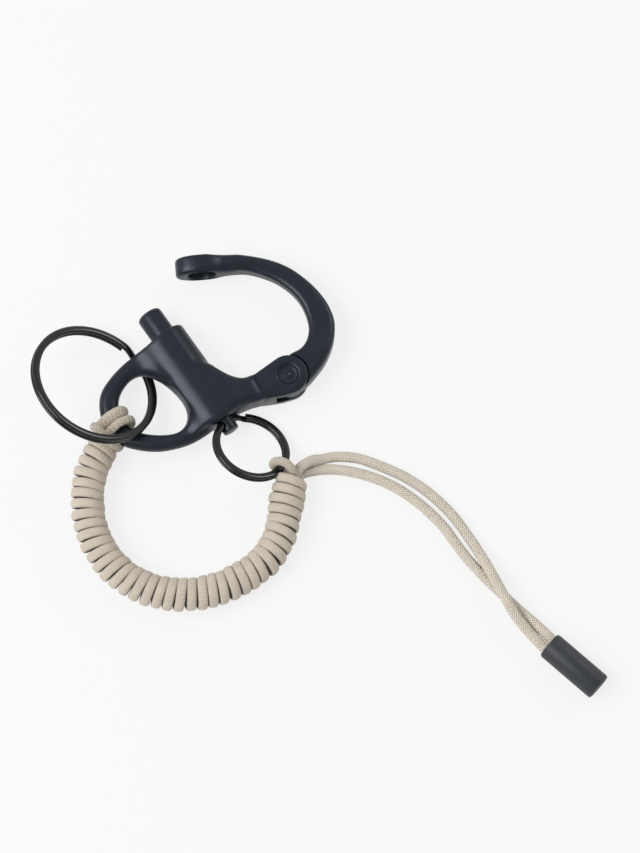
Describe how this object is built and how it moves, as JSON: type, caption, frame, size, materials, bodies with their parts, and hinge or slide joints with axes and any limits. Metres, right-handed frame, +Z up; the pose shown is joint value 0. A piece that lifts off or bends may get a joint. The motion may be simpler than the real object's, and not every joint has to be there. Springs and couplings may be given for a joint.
{
  "type": "elastic keyring",
  "caption": "Open snap shackle with a hinged hook jaw, a sprung pull plunger, split rings and a wrapped elastic cord that ends in a sleeve.",
  "frame": {"origin": "middle of the flat under the shackle's barrel, on the surface the keyring lies on", "axes": "+X from the cord bail towards the jaw's hinge, +Y along the barrel towards the plunger's tip, +Z up from the surface"},
  "size_m": [0.0738, 0.1258, 0.0168],
  "materials": {
    "coated_metal": "satin black coating on cast metal",
    "ring_coating": "glossy black coating on flat spring wire",
    "spring_steel": "bright drawn wire",
    "woven_elastic": "beige woven cover with fine ribs",
    "moulded_sleeve": "matt black moulding"
  },
  "bodies": {
    "shackle": {"shackle_body": "coated_metal", "pivot_pin": "coated_metal", "plunger_spring": "spring_steel", "bail_hitch": "woven_elastic", "wrap_coil": "woven_elastic"},
    "jaw": {"jaw": "coated_metal"},
    "plunger": {"plunger": "coated_metal", "tail_strand_a": "woven_elastic", "tail_strand_b": "woven_elastic", "end_sleeve": "moulded_sleeve"},
    "pull_ring": {"pull_ring": "ring_coating", "ring_loop": "woven_elastic"},
    "key_ring": {"key_ring": "ring_coating"}
  },
  "joints": [
    {"name": "jaw_hinge", "type": "hinge", "parent": "shackle", "child": "jaw", "pos_m": [0.01615, -0.01142, 0.00425], "axis": [0, 0, 1], "range_deg": [-75, 30]},
    {"name": "plunger_slide", "type": "slide", "parent": "shackle", "child": "plunger", "axis": [0, -1, 0], "range_m": [0, 0.005], "stiffness_N_per_m": 250, "springref_m": -0.002, "deforming": ["plunger_spring", "wrap_coil"]},
    {"name": "pull_ring_hinge", "type": "hinge", "parent": "plunger", "child": "pull_ring", "pos_m": [0, -0.0124, 0.00425], "axis": [-0.8746, 0, 0.4848], "range_deg": [-90, 60], "deforming": ["wrap_coil", "tail_strand_a", "tail_strand_b"]},
    {"name": "key_ring_hinge", "type": "hinge", "parent": "shackle", "child": "key_ring", "pos_m": [-0.0118, 0.0087, 0.00425], "axis": [0, 1, 0], "range_deg": [0, 90]}
  ]
}
